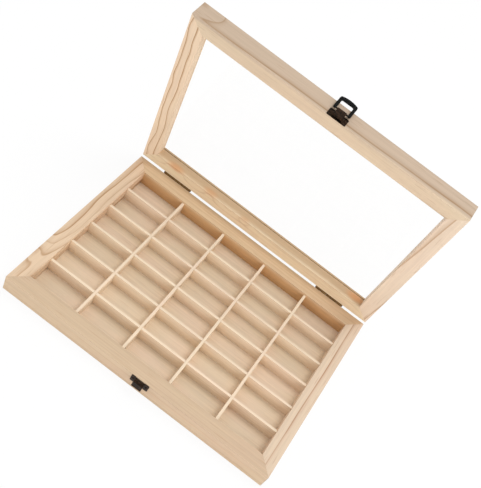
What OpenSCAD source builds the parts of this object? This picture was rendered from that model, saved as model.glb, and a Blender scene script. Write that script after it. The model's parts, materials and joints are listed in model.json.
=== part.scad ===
// A shallow pine storage box with thirty compartments for film cassettes.
// A frame lid with a clear pane turns on two butt hinges at the back, and a small
// lever latch closes it at the front. The lid is drawn standing open.
// X runs along the front, Y from front to back, Z up. The origin is the middle of
// the underside.

/* [Box] */
// Outside length of the box, left to right
box_length = 330; // [260:1:420]
// Outside depth of the box, front to back
box_depth = 240; // [180:1:320]
// Width of every pine rail
rail_width = 17.5; // [15:0.5:22]
// Bevel that eases the rails' outside edges
edge_ease = 0.4; // [0.2:0.1:1.2]
// Angle at which the lid stands open
lid_open = 82.2; // [0:0.2:177]

/* [Tray] */
// Height of the tray's rails
tray_height = 22; // [20:0.5:36]
// Thickness of the floor panel
floor_thickness = 3; // [2:0.5:5]
// How far the floor panel reaches under the rails
floor_bite = 6; // [3:0.5:8]
// Gap round the floor panel in its rebate
floor_gap = 0.2; // [0.1:0.05:0.5]

/* [Dividers] */
// Thickness of the divider strips
divider_thickness = 3; // [2:0.5:5]
// How far the dividers stop below the tray's rim
divider_drop = 2.5; // [0.5:0.5:5]
// Gap at each end of a divider
divider_end_gap = 0.1; // [0.05:0.05:0.3]
// Gap on each side of a strip in the slot that crosses it
slot_gap = 0.1; // [0.05:0.05:0.3]

/* [Lid] */
// Height of the lid's rails
lid_height = 22; // [20:0.5:32]
// Gap between the closed lid and the tray
lid_gap = 0.2; // [0.1:0.05:0.6]
// Width of the flat band on the lid's top face
top_band = 7.9; // [4:0.1:12]
// Height of the pane above the lid's lower face
pane_height = 12; // [6:0.5:13]
// Thickness of the pane
pane_thickness = 2; // [1.5:0.5:3]
// How deep the pane's groove is cut into the rails
groove_depth = 5; // [3:0.5:8]
// Gap between the pane's edge and the bottom of its groove
pane_edge_gap = 0.5; // [0.2:0.1:1]
// Gap above the pane in its groove
pane_slack = 0.1; // [0.05:0.05:0.3]
// Thickness of the lip that holds the pane in
lip_thickness = 1.9; // [1:0.1:3]

/* [Hinges] */
// Length of each hinge
hinge_length = 38; // [28:1:60]
// Distance from each end of the box to its hinge
hinge_inset = 33.5; // [10:0.5:60]
// Height of a hinge leaf from the pin's centre
leaf_height = 13; // [10:0.5:16]
// Thickness of a hinge leaf
leaf_thickness = 0.7; // [0.5:0.1:0.9]
// Distance of the hinge pin's centre behind the rails
hinge_offset = 1.9; // [1.85:0.05:3]
// Outside radius of the hinge knuckles
knuckle_radius = 1.65; // [1.4:0.05:1.75]
// Gap between neighbouring knuckles
knuckle_gap = 0.2; // [0.1:0.05:0.5]
// Radius of the hinge pin
hinge_pin_radius = 0.8; // [0.6:0.05:0.9]
// Distance of a hinge screw from the middle of its leaf
hinge_screw_spacing = 11.5; // [6:0.5:12]

/* [Latch] */
// Distance of the latch to the right of the middle
latch_offset = 6; // [-60:1:60]
// Thickness of the latch's sheet metal
sheet = 0.8; // [0.6:0.1:1]
// Width of the lid plate
plate_width = 22; // [20.5:0.5:28]
// Height of the lid plate
plate_height = 9.6; // [9:0.1:10]
// Width of the lever
lever_width = 10.5; // [7:0.5:10.5]
// Thickness of the plate's ears
ear_thickness = 0.9; // [0.6:0.1:0.9]
// Radius of the ears round the lever's pin
ear_radius = 2.1; // [1.7:0.1:2.3]
// Height of the lever's pin above the lid's lower face
lever_pin_height = 2.6; // [2.5:0.1:3.2]
// Distance from the lever's pin to the bail's bar
lever_reach = 8.8; // [7.5:0.1:9.5]
// Distance of both pivots in front of the rails
pivot_stand = 2.7; // [2.65:0.05:3.2]
// Radius of the lever's pin and of the bail's bar
latch_pin_radius = 0.8; // [0.6:0.05:0.9]
// Outside radius of the lever's rolled ends
eye_radius = 1.6; // [1.4:0.05:1.65]
// Outside width of the bail
bail_width = 20.4; // [19.6:0.1:24]
// Width of the bail's window
bail_window = 13.7; // [13.6:0.1:16]
// Distance from the bail's bar to the inner edge of its crossbar
bail_reach = 13; // [11:0.1:14]
// Width of the bail's crossbar at its middle
crossbar_width = 5.2; // [3:0.1:6]
// Radius of the crossbar's outward bow
crossbar_bow = 24; // [16:1:60]
// Radius of the bail's outside corners
bail_corner = 3.2; // [1:0.1:5]
// Thickness of the bail
bail_thickness = 1.5; // [1:0.1:1.6]
// How far the bead pressed into the crossbar stands out
bead_height = 0.4; // [0.2:0.05:0.4]

/* [Hook] */
// Width of the hook plate
hook_width = 21.5; // [20:0.5:30]
// Height of the hook plate
hook_height = 10.6; // [9:0.1:14]
// Width of the hook's tongue
tongue_width = 11.5; // [8:0.5:12.5]
// Depth of the room behind the hook's tongue
hook_room = 3.6; // [3.5:0.1:4.2]
// Length of the straight part of the tongue
tongue_length = 6.6; // [5:0.2:8.2]
// How far the tongue's lip flares out
lip_flare = 0.5; // [0.2:0.1:1]

/* [Hidden] */
columns = 5;
rows = 6;
knuckles = 5;
$fn = 48;

pine = "#ead6b3";
ply = "#efdfc2";
clear = "#dfeaee";
bronze = "#3a2f26";
cut = 1; // how far a cutting solid runs past what it cuts
running_fit = 0.05; // radial clearance of a turning pin
seat_fit = 0.02; // radial clearance of a pin in the holes that hold it
pilot_gap = 0.05; // radial clearance of a screw in its hole

inside_length = box_length - 2 * rail_width;
inside_depth = box_depth - 2 * rail_width;
cell_length = (inside_length - (columns - 1) * divider_thickness) / columns;
cell_depth = (inside_depth - (rows - 1) * divider_thickness) / rows;
divider_height = tray_height - floor_thickness - divider_drop;
lid_z = tray_height + lid_gap;
groove_height = pane_thickness + pane_slack;
lip_top = pane_height + groove_height + lip_thickness;
hinge_y = box_depth / 2 + hinge_offset;
hinge_z = tray_height + lid_gap / 2;
hinge_x = box_length / 2 - hinge_inset - hinge_length / 2;
knuckle_pitch = hinge_length / knuckles;
notch_gap = 0.25; // room between a leaf and the other leaf's knuckles
hinge_screw = [2, 0.6, 0.9, 9]; // head radius, head height, shank radius, shank length
latch_screw = [1.4, 0.5, 0.7, 7];
ear_gap = 0.35; // between the lever's edge and each ear
ear_inside = lever_width / 2 + ear_gap;
plate_corner = 1.2; // corner radius of the latch and hinge plates
fold_radius = (hook_room + 2 * sheet) / 2;
hook_top = tray_height - 0.2;
fold_z = hook_top - fold_radius;

// Places what is drawn for the front side, running along X, at each side of the box.
module at_side(side) {
    sides = [
        ["front", [-box_length / 2, -box_depth / 2, 0], 0],
        ["right", [box_length / 2, -box_depth / 2, 0], 90],
        ["back", [box_length / 2, box_depth / 2, 0], 180],
        ["left", [-box_length / 2, box_depth / 2, 0], 270]
    ];
    place = sides[search([side], sides)[0]];
    translate(place[1]) rotate(place[2]) children();
}

// Turns what is drawn on the closed lid to where the open lid stands.
module on_open_lid() {
    translate([0, hinge_y, hinge_z])
        rotate([-lid_open, 0, 0])
            translate([0, -hinge_y, -hinge_z])
                children();
}

// Extrudes along X a profile drawn as distance in front of the rails and height.
module along_front(width) {
    translate([latch_offset, -box_depth / 2, 0])
        rotate([90, 0, -90])
            linear_extrude(width, center = true)
                children();
}

module rounded_plate(width, height, radius) {
    translate([-width / 2 + radius, 0]) square([width - 2 * radius, height]);
    translate([-width / 2, radius]) square([width, height - 2 * radius]);
    for (x = [-1, 1], y = [radius, height - radius])
        translate([x * (width / 2 - radius), y]) circle(radius);
}

// A mitred rail with its outside face on Y = 0 and its section given as children.
module mitred_rail(length, height) {
    intersection() {
        rotate([90, 0, 90]) linear_extrude(length) children();
        translate([0, 0, -cut])
            linear_extrude(height + 2 * cut)
                polygon([[0, 0], [length, 0], [length - rail_width, rail_width], [rail_width, rail_width]]);
    }
}

module tray_section() {
    polygon([
        [edge_ease, 0],
        [rail_width - floor_bite, 0],
        [rail_width - floor_bite, floor_thickness],
        [rail_width, floor_thickness],
        [rail_width, tray_height],
        [edge_ease, tray_height],
        [0, tray_height - edge_ease],
        [0, edge_ease]
    ]);
}

// The lid's section has a pane groove inside and slopes down to its lip on top.
module lid_section() {
    polygon([
        [edge_ease, 0],
        [rail_width, 0],
        [rail_width, pane_height],
        [rail_width - groove_depth, pane_height],
        [rail_width - groove_depth, pane_height + groove_height],
        [rail_width, pane_height + groove_height],
        [rail_width, lip_top],
        [top_band, lid_height],
        [edge_ease, lid_height],
        [0, lid_height - edge_ease],
        [0, edge_ease]
    ]);
}

function side_length(side) = (side == "front" || side == "back") ? box_length : box_depth;

module tray_rail(side) {
    color(pine) difference() {
        at_side(side) mitred_rail(side_length(side), tray_height) tray_section();
        if (side == "back") hinge_screw_places(-1) screw_hole(hinge_screw);
        if (side == "front") hook_screw_places() screw_hole(latch_screw);
    }
}

module lid_rail(side) {
    color(pine) on_open_lid() difference() {
        translate([0, 0, lid_z])
            at_side(side) mitred_rail(side_length(side), lid_height) lid_section();
        if (side == "back") hinge_screw_places(1) screw_hole(hinge_screw);
        if (side == "front") latch_screw_places() screw_hole(latch_screw);
    }
}

module tray_floor() {
    reach = 2 * (floor_bite - floor_gap);
    color(ply)
        translate([0, 0, floor_thickness / 2])
            cube([inside_length + reach, inside_depth + reach, floor_thickness], center = true);
}

function column_x(i) = -inside_length / 2 + i * cell_length + (i - 0.5) * divider_thickness;
function row_y(i) = -inside_depth / 2 + i * cell_depth + (i - 0.5) * divider_thickness;

// A slot across a divider, from its middle height out past one edge.
module cross_slot(from_top) {
    slot = divider_thickness + 2 * slot_gap;
    half = divider_height / 2 + slot_gap + cut;
    low = floor_thickness + (from_top ? divider_height / 2 - slot_gap : -cut);
    translate([-slot / 2, -slot / 2, low]) cube([slot, slot, half]);
}

module column_divider(i) {
    length = inside_depth - 2 * divider_end_gap;
    color(ply) difference() {
        translate([column_x(i) - divider_thickness / 2, -length / 2, floor_thickness])
            cube([divider_thickness, length, divider_height]);
        for (j = [1 : rows - 1]) translate([column_x(i), row_y(j), 0]) cross_slot(false);
    }
}

module row_divider(j) {
    length = inside_length - 2 * divider_end_gap;
    color(ply) difference() {
        translate([-length / 2, row_y(j) - divider_thickness / 2, floor_thickness])
            cube([length, divider_thickness, divider_height]);
        for (i = [1 : columns - 1]) translate([column_x(i), row_y(j), 0]) cross_slot(true);
    }
}

module lid_pane() {
    reach = 2 * (groove_depth - pane_edge_gap);
    color(clear, 0.4) on_open_lid()
        translate([0, 0, lid_z + pane_height + pane_thickness / 2])
            cube([inside_length + reach, inside_depth + reach, pane_thickness], center = true);
}

// A domed screw whose head sits on Z = 0 and whose shank points down.
module screw(size) {
    dome = (size[0] * size[0] + size[1] * size[1]) / (2 * size[1]);
    tip = 2 * size[2];
    intersection() {
        translate([0, 0, size[1] - dome]) sphere(dome);
        cylinder(h = size[1], r = size[0]);
    }
    translate([0, 0, tip - size[3]]) cylinder(h = size[3] - tip, r = size[2]);
    translate([0, 0, -size[3]]) cylinder(h = tip, r1 = size[2] / 4, r2 = size[2]);
}

module screw_hole(size) {
    translate([0, 0, -size[3] - cut / 2])
        cylinder(h = size[3] + 2 * cut, r = size[2] + pilot_gap);
}

// The screws of both hinges on the tray, for level = -1, or on the closed lid, for 1.
module hinge_screw_places(level) {
    for (side = [-1, 1], step = [-1, 1])
        translate([
            side * hinge_x + step * hinge_screw_spacing,
            box_depth / 2 + leaf_thickness,
            hinge_z + level * (leaf_height + knuckle_radius) / 2
        ])
            rotate([-90, 0, 0]) children();
}

module latch_screw_places() {
    side_strip = plate_width / 2 - ear_inside - ear_thickness;
    for (side = [-1, 1])
        translate([
            latch_offset + side * (plate_width - side_strip) / 2,
            -box_depth / 2 - sheet,
            lid_z + plate_height / 2
        ])
            rotate([90, 0, 0]) children();
}

module hook_screw_places() {
    for (side = [-1, 1])
        translate([
            latch_offset + side * (hook_width + tongue_width) / 4,
            -box_depth / 2 - sheet,
            hook_top - hook_height / 2
        ])
            rotate([90, 0, 0]) children();
}

// The knuckles of one leaf, counted from the left: the tray's are even, the lid's odd.
module knuckle_places(first) {
    for (i = [first : 2 : knuckles - 1])
        translate([-hinge_length / 2 + i * knuckle_pitch + knuckle_gap / 2, 0, 0])
            rotate([0, 90, 0]) children();
}

// A leaf drawn round the pin's centre, hanging down its rail.
module hinge_leaf(first) {
    barrel = knuckle_pitch - knuckle_gap;
    notch = knuckle_radius + notch_gap;
    color(bronze) difference() {
        union() {
            translate([0, -hinge_offset + leaf_thickness, -leaf_height])
                rotate([90, 0, 0])
                    linear_extrude(leaf_thickness) rounded_plate(hinge_length, leaf_height, plate_corner);
            knuckle_places(first) cylinder(h = barrel, r = knuckle_radius);
            // The leaf stays square where it rolls into its knuckles.
            knuckle_places(first)
                translate([0, -hinge_offset, 0]) cube([notch, leaf_thickness, barrel]);
        }
        for (i = [1 - first : 2 : knuckles - 1])
            translate([-hinge_length / 2 + i * knuckle_pitch - knuckle_gap / 2, -hinge_offset - cut, -notch])
                cube([knuckle_pitch + knuckle_gap, leaf_thickness + 2 * cut, notch + cut]);
        translate([-hinge_length / 2 - cut, 0, 0])
            rotate([0, 90, 0])
                cylinder(h = hinge_length + 2 * cut, r = hinge_pin_radius + running_fit);
        for (step = [-1, 1])
            translate([step * hinge_screw_spacing, -hinge_offset - cut, -(leaf_height + knuckle_radius) / 2])
                rotate([-90, 0, 0])
                    cylinder(h = leaf_thickness + 2 * cut, r = hinge_screw[2] + pilot_gap);
    }
}

module hinge_tray_leaf(side) {
    translate([side * hinge_x, hinge_y, hinge_z]) hinge_leaf(0);
}

module hinge_lid_leaf(side) {
    on_open_lid()
        translate([side * hinge_x, hinge_y, hinge_z]) mirror([0, 0, 1]) hinge_leaf(1);
}

module hinge_pin(side) {
    head = 0.6;
    head_rim = 0.4;
    color(bronze)
        translate([side * hinge_x, hinge_y, hinge_z])
            rotate([0, 90, 0]) {
                cylinder(h = hinge_length + head, r = hinge_pin_radius, center = true);
                for (end = [-1, 1])
                    translate([0, 0, end * (hinge_length + head) / 2])
                        cylinder(h = head, r = hinge_pin_radius + head_rim, center = true);
            }
}

module hinge_tray_screws() {
    color(bronze) hinge_screw_places(-1) screw(hinge_screw);
}

module hinge_lid_screws() {
    color(bronze) on_open_lid() hinge_screw_places(1) screw(hinge_screw);
}

lever_pin_z = lid_z + lever_pin_height;
bail_bar_z = lever_pin_z + lever_reach;

// One ear's outline, from the plate's face out round the lever's pin.
module ear_outline() {
    ear_top = lid_z + plate_height - plate_corner;
    translate([pivot_stand, lever_pin_z]) circle(ear_radius);
    polygon([
        [0, lever_pin_z - ear_radius],
        [pivot_stand, lever_pin_z - ear_radius],
        [pivot_stand, lever_pin_z + ear_radius],
        [sheet, ear_top],
        [0, ear_top]
    ]);
}

// The lid plate carries the lever's pin between two ears.
module latch_plate() {
    color(bronze) on_open_lid() difference() {
        union() {
            translate([latch_offset, -box_depth / 2, lid_z])
                rotate([90, 0, 0])
                    linear_extrude(sheet) rounded_plate(plate_width, plate_height, plate_corner);
            for (side = [-1, 1])
                translate([side * (ear_inside + ear_thickness / 2), 0, 0])
                    along_front(ear_thickness) ear_outline();
        }
        along_front(plate_width)
            translate([pivot_stand, lever_pin_z]) circle(latch_pin_radius + seat_fit);
        latch_screw_places()
            translate([0, 0, -sheet - cut])
                cylinder(h = sheet + 2 * cut, r = latch_screw[2] + pilot_gap);
    }
}

module latch_pin() {
    pin_end = 0.1;
    color(bronze) on_open_lid()
        along_front(2 * (ear_inside + ear_thickness + pin_end))
            translate([pivot_stand, lever_pin_z]) circle(latch_pin_radius);
}

// The lever is one strip rolled round the pin at one end and round the bail at the other.
module latch_lever() {
    color(bronze) on_open_lid() along_front(lever_width) difference() {
        union() {
            for (z = [lever_pin_z, bail_bar_z])
                translate([pivot_stand, z]) circle(eye_radius);
            translate([pivot_stand + eye_radius - sheet, lever_pin_z]) square([sheet, lever_reach]);
        }
        for (z = [lever_pin_z, bail_bar_z])
            translate([pivot_stand, z]) circle(latch_pin_radius + running_fit);
    }
}

// The bail's outline, with its bar on the origin and its bowed crossbar above.
module bail_outline() {
    window_corner = 1.5;
    leg = (bail_width - bail_window) / 2;
    foot_rise = (leg / 2 - latch_pin_radius) * 0.8;
    reach = bail_reach + crossbar_width;
    corner_x = bail_width / 2 - bail_corner;
    bow_z = reach - crossbar_bow;
    corner_z = bow_z + sqrt(pow(crossbar_bow - bail_corner, 2) - pow(corner_x, 2));
    bow_x = corner_x * crossbar_bow / (crossbar_bow - bail_corner);
    difference() {
        union() {
            intersection() {
                translate([0, bow_z]) circle(crossbar_bow);
                translate([-bow_x, 0]) square([2 * bow_x, reach]);
            }
            translate([-bail_width / 2, foot_rise]) square([bail_width, corner_z - foot_rise]);
            for (side = [-1, 1]) {
                translate([side * corner_x, corner_z]) circle(bail_corner);
                translate([side * (bail_width - leg) / 2, foot_rise]) circle(leg / 2);
            }
        }
        translate([0, -bail_reach]) rounded_plate(bail_window, 2 * bail_reach, window_corner);
    }
}

// The bail is a stamped loop on a round bar, with a bead pressed along its crossbar.
module latch_bail() {
    bead_radius = 0.6;
    bar_bite = 0.5; // of the bar into each leg
    bead_bow = crossbar_bow - crossbar_width / 2;
    bow_center = bail_reach + crossbar_width - crossbar_bow;
    bead_turn = asin((bail_window / 2 - bead_radius) / bead_bow);
    color(bronze) on_open_lid() {
        translate([latch_offset, -box_depth / 2 - pivot_stand, bail_bar_z])
            rotate([90, 0, 0]) {
                linear_extrude(bail_thickness, center = true) bail_outline();
                translate([0, bow_center, bail_thickness / 2 + bead_height - bead_radius]) {
                    rotate(90 - bead_turn)
                        rotate_extrude(angle = 2 * bead_turn) translate([bead_bow, 0]) circle(bead_radius);
                    for (turn = [-bead_turn, bead_turn])
                        rotate(90 + turn) translate([bead_bow, 0, 0]) sphere(bead_radius);
                }
            }
        along_front(bail_window + 2 * bar_bite)
            translate([pivot_stand, bail_bar_z]) circle(latch_pin_radius);
    }
}

module latch_screws() {
    color(bronze) on_open_lid() latch_screw_places() screw(latch_screw);
}

// The tongue's section rises from the plate, folds over and ends in a flared lip.
module tongue_section() {
    lip_length = 0.8;
    lip_z = fold_z - tongue_length;
    front = 2 * fold_radius;
    intersection() {
        translate([fold_radius, fold_z]) difference() {
            circle(fold_radius);
            circle(fold_radius - sheet);
        }
        translate([0, fold_z]) square([front, fold_radius]);
    }
    translate([front - sheet, lip_z]) square([sheet, tongue_length]);
    polygon([
        [front - sheet, lip_z],
        [front, lip_z],
        [front + lip_flare, lip_z - lip_length],
        [front - sheet + lip_flare, lip_z - lip_length]
    ]);
}

// The hook plate carries a folded tongue that the bail's crossbar slips behind.
module hook_plate() {
    color(bronze) difference() {
        union() {
            translate([latch_offset, -box_depth / 2, hook_top - hook_height])
                rotate([90, 0, 0])
                    linear_extrude(sheet) rounded_plate(hook_width, hook_height, plate_corner);
            along_front(tongue_width) tongue_section();
        }
        hook_screw_places()
            translate([0, 0, -sheet - cut])
                cylinder(h = sheet + 2 * cut, r = latch_screw[2] + pilot_gap);
    }
}

module hook_screws() {
    color(bronze) hook_screw_places() screw(latch_screw);
}

tray_rail("front");  // tray_front_rail
tray_rail("back");  // tray_back_rail
tray_rail("left");  // tray_left_rail
tray_rail("right");  // tray_right_rail
tray_floor();
for (i = [1 : columns - 1])
    column_divider(i);
for (j = [1 : rows - 1])
    row_divider(j);
lid_rail("front");  // lid_front_rail
lid_rail("back");  // lid_back_rail
lid_rail("left");  // lid_left_rail
lid_rail("right");  // lid_right_rail
lid_pane();
hinge_tray_leaf(-1);  // left_hinge_tray_leaf
hinge_lid_leaf(-1);  // left_hinge_lid_leaf
hinge_pin(-1);  // left_hinge_pin
hinge_tray_leaf(1);  // right_hinge_tray_leaf
hinge_lid_leaf(1);  // right_hinge_lid_leaf
hinge_pin(1);  // right_hinge_pin
hinge_tray_screws();
hinge_lid_screws();
latch_plate();
latch_pin();
latch_lever();
latch_bail();
latch_screws();
hook_plate();
hook_screws();
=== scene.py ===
import json
import math

import bmesh
import bpy
from mathutils import Matrix, Vector


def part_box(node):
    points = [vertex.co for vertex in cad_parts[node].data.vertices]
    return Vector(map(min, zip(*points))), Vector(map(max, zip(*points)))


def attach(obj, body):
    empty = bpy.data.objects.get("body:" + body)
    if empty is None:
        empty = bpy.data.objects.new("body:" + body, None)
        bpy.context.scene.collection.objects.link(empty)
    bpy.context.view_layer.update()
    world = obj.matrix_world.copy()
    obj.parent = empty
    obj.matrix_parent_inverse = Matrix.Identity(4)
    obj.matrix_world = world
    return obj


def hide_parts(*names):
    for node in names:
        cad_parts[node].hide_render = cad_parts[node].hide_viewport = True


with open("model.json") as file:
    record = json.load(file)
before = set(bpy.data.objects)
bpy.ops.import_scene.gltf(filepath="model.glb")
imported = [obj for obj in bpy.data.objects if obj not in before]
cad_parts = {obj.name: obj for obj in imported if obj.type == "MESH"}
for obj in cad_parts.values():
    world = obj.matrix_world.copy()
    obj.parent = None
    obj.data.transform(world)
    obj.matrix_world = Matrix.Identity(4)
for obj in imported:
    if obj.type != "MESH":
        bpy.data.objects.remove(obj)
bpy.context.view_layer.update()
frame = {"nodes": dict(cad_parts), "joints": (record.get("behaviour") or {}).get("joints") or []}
print("frame loaded:", len(frame["nodes"]), "nodes")

# The lid stands open at rest. Its pieces are modelled shut, square to the axes,
# and then swung open about the hinge pins.
joints = {joint["name"]: joint for joint in frame["joints"]}
hingePoint = Vector(joints["lid_hinge"]["pos_m"])
hingeAxis = Vector(joints["lid_hinge"]["axis"])
shutAngle = math.radians(joints["lid_hinge"]["range_deg"][0])
toHinge = Matrix.Translation(hingePoint)
shutTurn = toHinge @ Matrix.Rotation(shutAngle, 4, hingeAxis) @ toHinge.inverted()
openTurn = shutTurn.inverted()
leverPin = shutTurn @ Vector(joints["latch_lever"]["pos_m"])
bailBar = shutTurn @ Vector(joints["latch_bail"]["pos_m"])


def shutBox(name):
    corners = [shutTurn @ v.co for v in frame["nodes"][name].data.vertices]
    low = Vector([min(c[i] for c in corners) for i in range(3)])
    high = Vector([max(c[i] for c in corners) for i in range(3)])
    return low, high


# Nodes of the materials

def newMaterial(name):
    material = bpy.data.materials.new(name)
    material.use_nodes = True
    tree = material.node_tree
    return material, tree, tree.nodes["Principled BSDF"]


def putIn(tree, socket, value):
    if isinstance(value, bpy.types.NodeSocket):
        tree.links.new(value, socket)
    else:
        socket.default_value = value


def addNode(tree, kind, inputs=None, **settings):
    made = tree.nodes.new(kind)
    for key, value in settings.items():
        setattr(made, key, value)
    for key, value in (inputs or {}).items():
        putIn(tree, made.inputs[key], value)
    return made


def calc(tree, operation, first, second=0.0):
    return addNode(tree, "ShaderNodeMath", {0: first, 1: second}, operation=operation).outputs[0]


def calcVector(tree, operation, first, second):
    made = addNode(tree, "ShaderNodeVectorMath", {0: first, 1: second}, operation=operation)
    return made.outputs["Vector"]


def lengthOf(tree, vector):
    return addNode(tree, "ShaderNodeVectorMath", {0: vector}, operation="LENGTH").outputs["Value"]


def mixColour(tree, share, first, second, mode="MIX"):
    mix = addNode(tree, "ShaderNodeMix", data_type="RGBA", blend_type=mode)
    # the colour sockets come after those for numbers and vectors
    for place, value in ((0, share), (6, first), (7, second)):
        putIn(tree, mix.inputs[place], value)
    return mix.outputs[2]


def mixShader(tree, share, first, second):
    return addNode(tree, "ShaderNodeMixShader", {0: share, 1: first, 2: second}).outputs[0]


def rangeOf(tree, value, low, high, toLow=0.0, toHigh=1.0, smooth=True):
    use = {"Value": value, "From Min": low, "From Max": high, "To Min": toLow, "To Max": toHigh}
    kind = "SMOOTHSTEP" if smooth else "LINEAR"
    return addNode(tree, "ShaderNodeMapRange", use, interpolation_type=kind).outputs["Result"]


def noise(tree, vector, scale, detail=2.0, rough=0.5):
    use = {"Vector": vector, "Scale": scale, "Detail": detail, "Roughness": rough}
    return addNode(tree, "ShaderNodeTexNoise", use).outputs["Fac"]


def addBump(tree, shader, height, strength, distance):
    use = {"Strength": strength, "Distance": distance, "Height": height}
    bump = addNode(tree, "ShaderNodeBump", use)
    tree.links.new(bump.outputs["Normal"], shader.inputs["Normal"])


def raySeen(tree):
    # one for what the camera sees, straight, mirrored or through the pane
    rays = addNode(tree, "ShaderNodeLightPath").outputs
    seen = calc(tree, "MAXIMUM", rays["Is Camera Ray"], rays["Is Glossy Ray"])
    return calc(tree, "MAXIMUM", seen, rays["Is Transmission Ray"])


# Camera, lamps and floor

# The photograph's camera, solved from the box's own straight edges.
cameraView = dict(
    place=(0.0589, -0.5540, 0.7675),
    turn=(36.294, -22.641, 30.330),  # degrees
    focalPixels=850.9,
    opticalCentre=(268.3, 255.7),  # pixel of the photograph that the lens looks at squarely
    imageSize=(481, 488),
    sensor=36.0,
    clipStart=0.01,
)


def makeCamera():
    view = cameraView
    wide, high = view["imageSize"]
    longSide = max(wide, high)
    data = bpy.data.cameras.new("photographView")
    data.sensor_width = view["sensor"]
    data.lens = view["focalPixels"] * view["sensor"] / longSide
    data.shift_x = ((wide - 1) / 2 - view["opticalCentre"][0]) / longSide
    data.shift_y = (view["opticalCentre"][1] - (high - 1) / 2) / longSide
    data.clip_start = view["clipStart"]
    camera = bpy.data.objects.new("photographView", data)
    camera.location = view["place"]
    camera.rotation_euler = [math.radians(a) for a in view["turn"]]
    bpy.context.scene.collection.objects.link(camera)
    bpy.context.scene.camera = camera


lighting = dict(
    worldStrength=0.765,
    aim=(0, 0, 0.05),  # where every lamp points
    lamps=dict(
        top=dict(place=(0.55, 0.55, 2.10), size=1.0, power=14.0),
        front=dict(place=(1.20, -2.20, 0.60), size=1.0, power=15.0),
        fill=dict(place=(-2.20, -0.60, 0.60), size=1.0, power=9.0),
        side=dict(place=(2.15, -0.45, 0.35), size=1.0, power=9.0),
    ),
)


def makeWorld():
    world = bpy.data.worlds.new("softStudio")
    bpy.context.scene.world = world
    world.use_nodes = True
    tree = world.node_tree
    sky = tree.nodes["Background"]
    sky.inputs["Color"].default_value = (1, 1, 1, 1)
    # plain white where it is seen past the floor, straight, through the pane or in the metal
    strength = calc(tree, "MAXIMUM", raySeen(tree), lighting["worldStrength"])
    tree.links.new(strength, sky.inputs["Strength"])


def makeLamps():
    for name, use in lighting["lamps"].items():
        data = bpy.data.lights.new(name + "Lamp", "AREA")
        data.shape = "DISK"
        data.size = use["size"]
        data.energy = use["power"]
        lamp = bpy.data.objects.new(name + "Lamp", data)
        lamp.location = use["place"]
        toward = Vector(lighting["aim"]) - lamp.location
        lamp.rotation_euler = toward.to_track_quat("-Z", "Y").to_euler()
        bpy.context.scene.collection.objects.link(lamp)


floorLook = dict(
    size=12.0,
    below=0.0002,  # under the box, so that the two never meet
    paper=(0.93, 0.93, 0.93, 1),
    rough=0.9,
    plainShare=0.90,  # of plain white where the floor is seen
)


def makeFloor():
    use = floorLook
    bpy.ops.object.select_all(action="DESELECT")
    bpy.ops.mesh.primitive_plane_add(size=use["size"], location=(0, 0, -use["below"]))
    floor = bpy.context.object
    floor.name = "studioFloor"
    material, tree, shader = newMaterial("whitePaper")
    shader.inputs["Base Color"].default_value = use["paper"]
    shader.inputs["Roughness"].default_value = use["rough"]
    plain = addNode(tree, "ShaderNodeEmission", {"Color": (1, 1, 1, 1), "Strength": 1.0})
    share = calc(tree, "MULTIPLY", raySeen(tree), use["plainShare"])
    mixed = mixShader(tree, share, shader.outputs[0], plain.outputs[0])
    tree.links.new(mixed, tree.nodes["Material Output"].inputs["Surface"])
    floor.data.materials.append(material)


makeCamera()
makeWorld()
makeLamps()
makeFloor()
bpy.context.scene.view_settings.view_transform = "Standard"
print("camera, lamps and floor made")


# Pine

woodBasics = dict(
    early=(0.700, 0.520, 0.350, 1),  # the pale wood between the lines
    late=(0.420, 0.235, 0.110, 1),  # the dark line that ends a year's ring
    rose=(0.690, 0.475, 0.330, 1),  # clouds of a warmer tone
    roseShare=0.5,
    spacing=0.0030,  # between two rings
    lineShare=0.45,  # strength of the dark lines
    lineWidth=0.0014,
    pith=(0.030, -0.050),  # the log's middle, across and above the piece's middle
    lean=(0.0, 0.0),  # degrees by which the log's middle leans from the piece, up and sideways
    sway=0.002,  # how far the rings stray
    swayLength=0.200,
    coreTone=(0.500, 0.275, 0.110, 1),
    coreReach=0.0,  # radius of the darker core round the pith
    coreBlur=0.004,
    coreShare=0.8,
    knot=(0.420, 0.200, 0.085, 1),
    knots=(),  # place on the piece, radius, and how dark: at 0 it only bends the lines
)
ringShape = dict(
    peak=0.94,  # share of a year at which its line is darkest
    widest=0.65,
    shoulder=0.35,  # share of the line at which it has set in by shoulderTone
    shoulderTone=(0.30, 0.30, 0.30, 1),
    swayAcross=40.0,  # per metre, as are all scales here
    stretchScale=60.0,
    yearTone=(0.45, 1.15),  # of the weakest and the strongest year
    stretchTone=(0.6, 1.1),  # of the weakest and the strongest stretch of the board
)
knotShape = dict(
    long=0.45,  # a knot is drawn out along the grain by one over this
    push=1.6,  # years that its middle adds
    pushReach=3.0, core=0.2, rim=1.3,  # of its radius
)
fibreLook = dict(
    cloudScale=40.0,
    fibreScale=1400.0, fibreTone=(0.94, 1.05),
    streakScale=420.0, streakTone=(0.95, 1.04),
    poreScale=850.0, poreShare=0.30,
    rough=(0.52, 0.68), specular=0.35, bump=0.35, bumpDepth=0.00012,
)


def drawnOut(tree, onPiece, share, scale, detail=2.0, rough=0.5):
    # a noise drawn out along the grain
    return noise(tree, calcVector(tree, "MULTIPLY", onPiece, (share, 1, 1)), scale, detail, rough)


def placeOnPiece(tree, grain, middle, onLid):
    # Turned so that X follows the grain and zero is the middle of the piece.
    here = addNode(tree, "ShaderNodeTexCoord").outputs["Object"]
    place = Matrix.Translation(-Vector(middle)) @ (shutTurn if onLid else Matrix.Identity(4))
    if grain == "y":
        place = Matrix.Rotation(math.radians(-90), 4, "Z") @ place
    use = {"Vector": here, "Location": place.translation, "Rotation": place.to_euler()}
    return addNode(tree, "ShaderNodeMapping", use).outputs["Vector"]


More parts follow.
